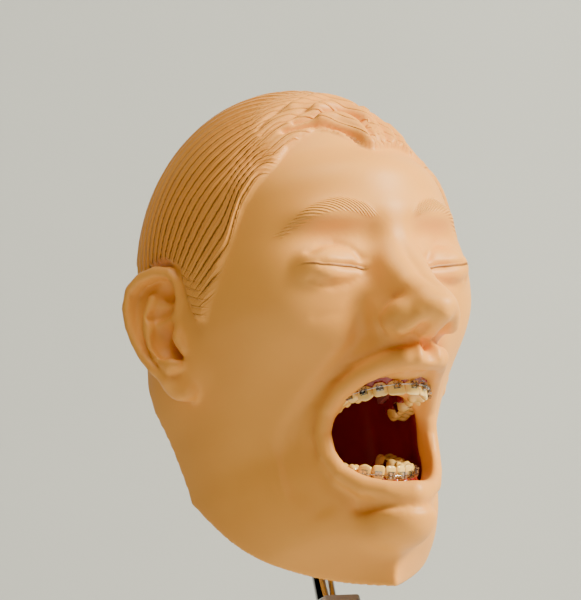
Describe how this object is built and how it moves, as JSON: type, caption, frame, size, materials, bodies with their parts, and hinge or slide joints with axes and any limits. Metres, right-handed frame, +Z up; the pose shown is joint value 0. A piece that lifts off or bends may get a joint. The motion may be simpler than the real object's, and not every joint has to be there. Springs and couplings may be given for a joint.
{
  "type": "dental patient head",
  "caption": "Soft-masked dental training head with an open hinged jaw and screwed-in braced arches, on a chromed post in a tilting bench clamp.",
  "frame": {"origin": "middle of the clamp's rubber face that rests on the bench top", "axes": "+Z up from the bench top; the face looks along -Y; +X is the head's left; the post leans 20 degrees back towards +Y at rest"},
  "size_m": [0.1509, 0.2032, 0.4321],
  "materials": {
    "enamel": "satin enamel",
    "black_rubber": "matte",
    "black_plastic": "satin",
    "steel": "turned",
    "cast_aluminium": "satin cast",
    "chrome": "polished",
    "grey_plastic": "satin",
    "base_resin": "glossy",
    "gum_rubber": "glossy",
    "tooth_resin": "glossy",
    "bracket_steel": "bright",
    "mask_rubber": "soft satin",
    "red_rubber": "satin",
    "brass": "turned"
  },
  "bodies": {
    "clamp": {"clamp_frame": "enamel", "bench_pad": "black_rubber", "tilt_bolt": "steel", "friction_washers": "black_plastic"},
    "foot": {"clamp_foot": "steel"},
    "screw": {"clamp_screw": "steel"},
    "handle": {"handle_bar": "steel", "handle_balls": "black_rubber"},
    "tilt": {"tilt_block": "cast_aluminium"},
    "tilt_lock": {"tilt_knob": "black_plastic"},
    "post_lock": {"post_knob": "black_plastic"},
    "post": {"post": "chrome"},
    "head": {"neck_block": "cast_aluminium", "neck_screws": "steel", "skull_floor": "cast_aluminium", "skull_shell": "grey_plastic", "skull_screws": "steel", "rear_cover": "grey_plastic", "hinge_brackets": "steel", "hinge_pins": "steel", "spring_washers": "steel", "bracket_screws": "steel", "upper_plate": "steel", "upper_base": "base_resin", "upper_gum": "gum_rubber", "upper_incisors": "tooth_resin", "upper_canines": "tooth_resin", "upper_premolars": "tooth_resin", "upper_molars": "tooth_resin", "upper_tooth_screws": "steel", "upper_brackets": "bracket_steel", "upper_molar_bands": "bracket_steel", "upper_archwire": "bracket_steel", "face_mask": "mask_rubber", "oral_liner": "red_rubber"},
    "neck_lock": {"neck_thumb_screw": "steel"},
    "upper_lock": {"upper_plate_screw": "steel"},
    "jaw": {"jaw_frame": "cast_aluminium", "hinge_bushes": "brass", "lower_plate": "steel", "lower_base": "base_resin", "lower_gum": "gum_rubber", "lower_incisors": "tooth_resin", "lower_canines": "tooth_resin", "lower_premolars": "tooth_resin", "lower_molars": "tooth_resin", "lower_tooth_screws": "steel", "lower_brackets": "bracket_steel", "lower_molar_bands": "bracket_steel", "lower_archwire": "bracket_steel"},
    "lower_lock": {"lower_plate_screw": "steel"}
  },
  "joints": [
    {"name": "foot_slide", "type": "slide", "parent": "clamp", "child": "foot", "axis": [0, 0, 1], "range_m": [-0.01, 0.014]},
    {"name": "screw_turn", "type": "hinge", "parent": "foot", "child": "screw", "pos_m": [0, 0.018, -0.041], "axis": [0, 0, 1], "range_deg": [-1800, 2520]},
    {"name": "handle_slide", "type": "slide", "parent": "screw", "child": "handle", "axis": [1, 0, 0], "range_m": [-0.028, 0.028]},
    {"name": "head_tilt", "type": "hinge", "parent": "clamp", "child": "tilt", "pos_m": [0, 0, 0.038], "axis": [1, 0, 0], "range_deg": [-25, 35]},
    {"name": "tilt_lock_turn", "type": "hinge", "parent": "clamp", "child": "tilt_lock", "pos_m": [0, 0, 0.038], "axis": [1, 0, 0], "range_deg": [-360, 90]},
    {"name": "post_lock_turn", "type": "hinge", "parent": "tilt", "child": "post_lock", "pos_m": [0, 0.02179, 0.05987], "axis": [0, 0.9397, -0.342], "range_deg": [-360, 90]},
    {"name": "post_height", "type": "slide", "parent": "tilt", "child": "post", "axis": [0, 0.342, 0.9397], "range_m": [0, 0.02]},
    {"name": "head_turn", "type": "hinge", "parent": "post", "child": "head", "pos_m": [0, 0.0342, 0.13197], "axis": [0, 0.342, 0.9397], "range_deg": [-90, 90]},
    {"name": "neck_lock_turn", "type": "hinge", "parent": "head", "child": "neck_lock", "pos_m": [0, 0.0502, 0.14083], "axis": [0, 0.9397, -0.342], "range_deg": [-360, 90]},
    {"name": "upper_lock_turn", "type": "hinge", "parent": "head", "child": "upper_lock", "pos_m": [0, -0.01696, 0.19316], "axis": [0, 0.342, 0.9397], "range_deg": [-360, 90]},
    {"name": "jaw_open", "type": "hinge", "parent": "head", "child": "jaw", "pos_m": [0, 0.01866, 0.16529], "axis": [1, 0, 0], "range_deg": [-27, 6], "deforming": ["face_mask", "oral_liner"]},
    {"name": "lower_lock_turn", "type": "hinge", "parent": "jaw", "child": "lower_lock", "pos_m": [0, -0.0171, 0.11079], "axis": [0, -0.1392, 0.9903], "range_deg": [-360, 90]}
  ],
  "couplings": [
    {"joint": "foot_slide", "follows": "screw_turn", "m_per_rad": 0.00031831}
  ]
}
